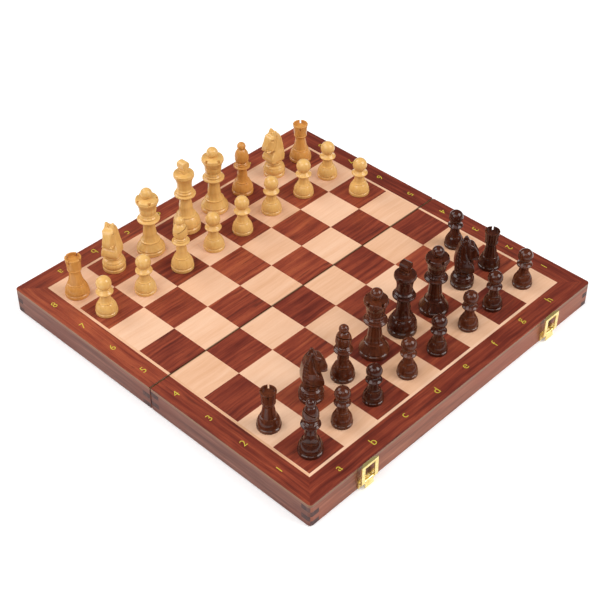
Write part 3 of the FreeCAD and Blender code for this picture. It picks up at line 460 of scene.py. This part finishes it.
for number, name in enumerate(sorted(NODES)):
    paint(NODES[name], material_for(name, number))
    if name.startswith(("clasp", "catch", "hinge")):
        bevel = NODES[name].modifiers.new("softened", "BEVEL")
        bevel.width = METAL_EDGE
        bevel.segments = 2
        bevel.limit_method = "ANGLE"
        bevel.angle_limit = METAL_EDGE_ANGLE


# ---------------------------------------------------------------- carved knights
# The head is a slab sawn to a side view, then rounded and carved.  x runs forwards and y
# sideways in base radii, z runs up in heights of the whole man.

HEAD_SIDE = [
    (-0.60, 0.318), (-0.20, 0.318), (0.30, 0.318), (0.62, 0.320), (0.78, 0.336), (0.85, 0.375),
    (0.82, 0.430), (0.70, 0.480), (0.52, 0.520), (0.40, 0.548), (0.36, 0.575), (0.46, 0.590),
    (0.62, 0.588), (0.82, 0.582), (1.00, 0.584), (1.10, 0.600), (1.13, 0.635), (1.12, 0.690),
    (1.05, 0.735), (0.94, 0.785), (0.82, 0.835), (0.70, 0.872), (0.58, 0.892), (0.46, 0.900),
    (0.38, 0.910), (0.32, 0.928), (0.26, 0.952), (0.18, 0.984), (0.08, 0.998), (-0.04, 0.988),
    (-0.14, 0.955), (-0.26, 0.925), (-0.42, 0.880), (-0.56, 0.810), (-0.67, 0.720),
    (-0.74, 0.620), (-0.77, 0.520), (-0.75, 0.420), (-0.69, 0.350)]
HALF_THICKNESS = ((0.32, 0.45, 0.58, 0.72, 0.88, 1.0), (0.70, 0.66, 0.52, 0.44, 0.42, 0.36))
VOXEL = 0.00038
SLAB_HALF = 0.6                 # half thickness of the uncarved slab, in base radii

# Lines carved into the head, in the units of HEAD_SIDE.
JAW = ((0.40, 0.575), (0.22, 0.640), (0.12, 0.720), (0.10, 0.800), (0.02, 0.880))
EYE = ((0.44, 0.808), (0.56, 0.822))
EYEBROW = ((0.36, 0.850), (0.60, 0.865))
NOSTRIL = ((1.00, 0.655), (1.04, 0.675))
MOUTH = ((0.70, 0.618), (1.20, 0.632))
MANE = ((-0.20, 0.905), (-0.40, 0.800), (-0.50, 0.700), (-0.55, 0.600), (-0.54, 0.500),
        (-0.44, 0.400), (-0.30, 0.340))
BREAST = ((-0.60, 0.46), (-0.10, 0.38), (0.30, 0.36))

# Depth and width of each groove in metres; a ridge has a negative depth.
FACE_GROOVES = ((JAW, 0.0009, 0.0009), (EYE, 0.0011, 0.0008), (EYEBROW, -0.0004, 0.0007),
                (NOSTRIL, 0.0008, 0.0006), (MOUTH, 0.0013, 0.0005))
MANE_DEPTH = {True: 0.0007, False: 0.0004}     # by whether the man has a carved mane
MANE_WIDTH = 0.0006
LOCK_FADE = 0.0006              # the locks begin this far in from the edge
LOCK_PITCH = 0.0036
LOCK_DEPTH = 0.0004
LOCK_SLANT = 0.9

BROW = (0.55, 0.86)
BROW_SIZE = 0.0035
LIP_LEVEL = 0.60
LIP_SIZE = 0.0020
SNOUT_FROM = 0.4                # in front of this the edges are sharper
SNOUT_EDGE = 0.0009
NECK_EDGE = 0.0024
HEAD_FOOT = 0.36                # below this the slab keeps nearly its whole thickness
THINNEST = 0.0006
EAR_CLEFT = 0.0034
EAR_CLEFT_WIDTH = 0.0012
EAR_SPREAD = 0.0006


def rounded_loop(points, steps=6):
    """A closed curve through the points."""
    points = np.array(points)
    share = np.linspace(0.0, 1.0, steps, endpoint=False)[:, None]
    before, after, far = (np.roll(points, shift, axis=0) for shift in (1, -1, -2))
    spans = [0.5 * (2 * here + (ahead - back) * share
                    + (2 * back - 5 * here + 4 * ahead - beyond) * share ** 2
                    + (3 * here - back - 3 * ahead + beyond) * share ** 3)
             for back, here, ahead, beyond in zip(before, points, after, far)]
    return np.concatenate(spans)


def slab(loop, half):
    """A remeshed slab of even thickness with the loop as its side view; (vertices, faces)."""
    mesh = bmesh.new()
    ring = [mesh.verts.new((x, -half, z)) for x, z in loop]
    face = mesh.faces.new(ring)
    grown = bmesh.ops.extrude_face_region(mesh, geom=[face])["geom"]
    moved = [part for part in grown if isinstance(part, bmesh.types.BMVert)]
    bmesh.ops.translate(mesh, verts=moved, vec=(0, 2 * half, 0))
    bmesh.ops.recalc_face_normals(mesh, faces=mesh.faces)
    data = bpy.data.meshes.new("slab")
    mesh.to_mesh(data)
    mesh.free()
    blank = bpy.data.objects.new("slab", data)
    bpy.context.scene.collection.objects.link(blank)
    remesh = blank.modifiers.new("voxels", "REMESH")
    remesh.mode = "VOXEL"
    remesh.voxel_size = VOXEL
    smooth = blank.modifiers.new("smooth", "SMOOTH")
    smooth.iterations = 3
    bpy.context.view_layer.update()
    dense = blank.evaluated_get(bpy.context.evaluated_depsgraph_get()).to_mesh()
    vertices = np.array([vertex.co for vertex in dense.vertices])
    faces = [tuple(face.vertices) for face in dense.polygons]
    bpy.data.objects.remove(blank)
    return vertices, faces


def distance_to(x, z, line, closed=True):
    """Distance in the side view from points to a line of points."""
    line = np.asarray(line)
    ends = np.roll(line, -1, axis=0) if closed else line[1:]
    starts = line if closed else line[:-1]
    best = np.full(len(x), 1e9)
    for start, end in zip(starts, ends):
        run = end - start
        share = ((x - start[0]) * run[0] + (z - start[1]) * run[1]) / (run @ run)
        share = np.clip(share, 0.0, 1.0)
        best = np.minimum(best, np.hypot(x - start[0] - share * run[0],
                                         z - start[1] - share * run[1]))
    return best


def dip(distance, width):
    """1 at no distance, falling smoothly to 0."""
    return np.exp(-(distance / width) ** 2)


def rise(value, low, high):
    """0 below low, 1 above high and a smooth rise between."""
    share = np.clip((value - low) / (high - low), 0.0, 1.0)
    return share * share * (3 - 2 * share)


def carve(vertices, radius, height, maned):
    """Round a slab of a head and carve its jaw, eye, nostril, mouth, ears and mane."""
    x, y, z = vertices.T.copy()
    across, up = x / radius, z / height
    edge = distance_to(x, z, rounded_loop(HEAD_SIDE) * (radius, height))

    def along(line, width):
        """1 on a line of the side view, falling to 0 beside it."""
        return dip(distance_to(x, z, np.array(line) * (radius, height), closed=False), width)

    half = radius * np.interp(up, *HALF_THICKNESS)
    muzzle = rise(across, 0.55, 0.95) * rise(up, 0.50, 0.60)
    brow = dip(np.hypot((across - BROW[0]) * radius, (up - BROW[1]) * height), BROW_SIZE)
    half *= 1 - 0.22 * rise(across, 0.35, 0.95) * rise(up, 0.52, 0.62) + 0.12 * brow
    half *= 1 + 0.10 * dip((up - LIP_LEVEL) * height, LIP_SIZE) * muzzle
    shoulder = np.clip(edge / np.where(across > SNOUT_FROM, SNOUT_EDGE, NECK_EDGE), 0.0, 1.0)
    form = 0.74 + 0.26 * np.sqrt(1 - (1 - shoulder) ** 2)
    half *= np.where(up < HEAD_FOOT, 0.86 + 0.14 * shoulder, form)

    for line, depth, width in FACE_GROOVES:
        half -= depth * along(line, width)
    neck = rise(-across, -0.15, 0.15) * rise(up, 0.50, 0.60)
    half -= 0.0005 * neck * (1 - rise(-across, 0.35, 0.55))
    half -= MANE_DEPTH[maned] * along(MANE, MANE_WIDTH)
    if maned:
        wave = np.sin(2 * math.pi * (z + LOCK_SLANT * x) / LOCK_PITCH)
        behind = rise(-across, 0.20, 0.50)
        half -= LOCK_DEPTH * behind * (0.5 + 0.5 * wave) * rise(edge, 0.0, LOCK_FADE)
        half -= 0.0005 * along(BREAST, 0.0005)

    y = y / np.abs(y).max() * np.maximum(half, THINNEST)
    ears = rise(up, 0.90, 0.97) * rise(across, -0.32, -0.20) * (1 - rise(across, 0.24, 0.34))
    z = z - EAR_CLEFT * ears * dip(y, EAR_CLEFT_WIDTH)
    y = y + np.sign(y) * EAR_SPREAD * rise(up, 0.92, 1.0)
    return np.stack([x, y, z], axis=1)


# Where to look on a CAD knight for its axis, its size and the way that it faces.
DISC_RADIUS = 0.94              # of its foot disc at the floor, in base radii
DISC_DEPTH = 0.0005
NOSE_LEVEL = 0.70               # in heights
NOSE_BAND = 0.002
FARTHEST = 0.97
FOOT_TOP = 0.322                # the turned foot is kept up to here, in heights
CREASE = math.radians(50)


def knight_axis(node):
    """Middle of the foot disc, direction the head faces, base radius and whole height."""
    points = np.array([vertex.co for vertex in node.data.vertices])
    floor = points[:, 2].min()
    disc = points[points[:, 2] < floor + DISC_DEPTH]
    middle = (disc.min(axis=0) + disc.max(axis=0)) / 2
    height = points[:, 2].max() - floor
    radius = (disc[:, 0].max() - disc[:, 0].min()) / 2 / DISC_RADIUS
    nose = points[np.abs(points[:, 2] - floor - NOSE_LEVEL * height) < NOSE_BAND]
    out = nose[:, :2] - middle[:2]
    reach = np.hypot(*out.T)
    tip = out[reach > FARTHEST * reach.max()].mean(axis=0)
    centre = Vector((middle[0], middle[1], floor))
    return centre, math.atan2(tip[1], tip[0]), radius, height


def knight(name):
    """The CAD knight's turned foot with a carved head, as one new piece on the same body."""
    node = NODES[name]
    centre, facing, radius, height = knight_axis(node)
    maned = name.startswith("dark")
    man = bmesh.new()
    man.from_mesh(node.data)
    bmesh.ops.remove_doubles(man, verts=man.verts, dist=1e-6)
    bmesh.ops.bisect_plane(man, geom=man.verts[:] + man.edges[:] + man.faces[:],
                           plane_co=(0, 0, centre.z + FOOT_TOP * height), plane_no=(0, 0, 1),
                           clear_outer=True)
    rim = [edge for edge in man.edges if edge.is_boundary]
    bmesh.ops.triangle_fill(man, edges=rim, use_beauty=True)

    vertices, faces = slab(rounded_loop(HEAD_SIDE) * (radius, height), SLAB_HALF * radius)
    turn = Matrix.Translation(centre) @ Matrix.Rotation(facing, 4, "Z")
    carved = carve(vertices, radius, height, maned)
    added = [man.verts.new(turn @ Vector(point)) for point in carved]
    for face in faces:
        man.faces.new([added[index] for index in face])
    for face in man.faces:
        face.smooth = True
    for edge in man.edges:
        edge.smooth = edge.calc_face_angle(0.0) < CREASE
    mesh = bpy.data.meshes.new(name + "_base")
    man.to_mesh(mesh)
    man.free()
    mesh.materials.append(node.data.materials[0])
    piece = bpy.data.objects.new("carved_" + name, mesh)
    bpy.context.scene.collection.objects.link(piece)
    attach(piece, "man_" + name)
    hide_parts(name)


for name in sorted(NODES):
    if "_knight_" in name:
        knight(name)


# ---------------------------------------------------------------- lettering

LETTER_SIZE = 0.0112
DIGIT_SIZE = 0.0102
THINNING = -0.00010             # the strokes are drawn in by this much
PAINT_LIFT = 0.00003
PAINT_THICKNESS = 0.00001
ASKEW = 0.00032                 # the front letters stray this much more with each file


def lettering(name, body, marks):
    """One piece of flat letters lying on a half; marks are (text, x, y, turn)."""
    mesh = bmesh.new()
    for text, x, y, turn in marks:
        curve = bpy.data.curves.new("mark", "FONT")
        curve.body = text
        curve.size = DIGIT_SIZE if text.isdigit() else LETTER_SIZE
        curve.align_x = "CENTER"
        curve.align_y = "CENTER"
        curve.offset = THINNING
        curve.extrude = PAINT_THICKNESS
        letter = bpy.data.objects.new("mark", curve)
        bpy.context.scene.collection.objects.link(letter)
        bpy.context.view_layer.update()
        shape = bpy.data.meshes.new_from_object(letter)
        low = Vector([min(v.co[i] for v in shape.vertices) for i in range(3)])
        high = Vector([max(v.co[i] for v in shape.vertices) for i in range(3)])
        middle = (low + high) / 2
        shape.transform(Matrix.Translation((x, y, TOP + PAINT_LIFT))
                        @ Matrix.Rotation(turn, 4, "Z") @ Matrix.Translation(-middle))
        mesh.from_mesh(shape)
        bpy.data.objects.remove(letter)
        bpy.data.meshes.remove(shape)
    data = bpy.data.meshes.new(name)
    mesh.to_mesh(data)
    mesh.free()
    data.materials.append(gold)
    piece = bpy.data.objects.new(name, data)
    bpy.context.scene.collection.objects.link(piece)
    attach(piece, body)


gold = gold_paint()
marks = {"front_half": [], "rear_half": []}
for index, letter in enumerate("abcdefgh"):
    x = (index + 0.5) * SQUARE - FIELD
    askew = ASKEW * index
    marks["front_half"].append((letter, x - askew, askew - SEAM - BORDER_MIDDLE, 0.0))
    marks["rear_half"].append((letter, x, SEAM + BORDER_MIDDLE, math.pi))
for rank in range(1, 9):
    half = "front_half" if rank <= 4 else "rear_half"
    y = (rank - 4.5) * SQUARE + (SEAM if rank > 4 else -SEAM)
    marks[half].append((str(rank), -BORDER_MIDDLE, y, 0.0))
    marks[half].append((str(rank), BORDER_MIDDLE, y, math.pi))
lettering("coordinates_front", "front_half", marks["front_half"])
lettering("coordinates_rear", "rear_half", marks["rear_half"])


# ---------------------------------------------------------------- studio

FLOOR_REACH = 3.0
FLOOR_GLOW = 0.22
ROOM_LIGHT = 0.14
LIGHTS = (("key", (1.1, -1.7, 1.9), 1.7, 58.0), ("left", (-1.9, 0.2, 1.8), 1.7, 33.0),
          ("back", (-0.6, 2.0, 2.0), 1.7, 35.0), ("near", (-1.2, -1.6, 2.4), 1.5, 12.0))
LENS = 80.5
SENSOR = 36.0
CAMERA_PLACE = Vector((-0.6936, -0.6650, TOP + 0.8121))
CAMERA_TARGET = Vector((-0.0174, -0.0126, TOP))


def aimed(direction):
    """The turn that points a lamp or a camera along a direction."""
    return direction.to_track_quat("-Z", "Y").to_euler()


def floor():
    mesh = bpy.data.meshes.new("floor")
    corners = [(-FLOOR_REACH, -FLOOR_REACH, 0), (FLOOR_REACH, -FLOOR_REACH, 0),
               (FLOOR_REACH, FLOOR_REACH, 0), (-FLOOR_REACH, FLOOR_REACH, 0)]
    mesh.from_pydata(corners, [], [(0, 1, 2, 3)])
    ground = bpy.data.objects.new("floor", mesh)
    bpy.context.scene.collection.objects.link(ground)
    g = Graph("floor")
    grain = g.noise(g.stretched(g.place(), (40, 40, 40)))
    tone = g.ramp(grain, [(0.3, (0.90, 0.90, 0.90)), (0.7, (0.92, 0.92, 0.92))])
    mesh.materials.append(g.finish(tone, 0.75, IOR=1.4, Emission_Color=(1, 1, 1, 1),
                                   Emission_Strength=FLOOR_GLOW))


def studio():
    """White floor, four large soft lamps and the camera."""
    scene = bpy.context.scene
    scene.view_settings.view_transform = "Standard"
    floor()
    scene.world = bpy.data.worlds.new("studio")
    scene.world.use_nodes = True
    background = scene.world.node_tree.nodes["Background"]
    background.inputs["Color"].default_value = (1.0, 1.0, 1.0, 1.0)
    background.inputs["Strength"].default_value = ROOM_LIGHT

    for name, place, size, power in LIGHTS:
        light = bpy.data.lights.new(name, "AREA")
        light.size = size
        light.energy = power
        lamp = bpy.data.objects.new(name, light)
        lamp.location = place
        lamp.rotation_euler = aimed(-Vector(place))
        scene.collection.objects.link(lamp)

    lens = bpy.data.cameras.new("camera")
    lens.sensor_width = SENSOR
    lens.lens = LENS
    camera = bpy.data.objects.new("camera", lens)
    camera.location = CAMERA_PLACE
    camera.rotation_euler = aimed(CAMERA_TARGET - CAMERA_PLACE)
    scene.collection.objects.link(camera)
    scene.camera = camera


studio()
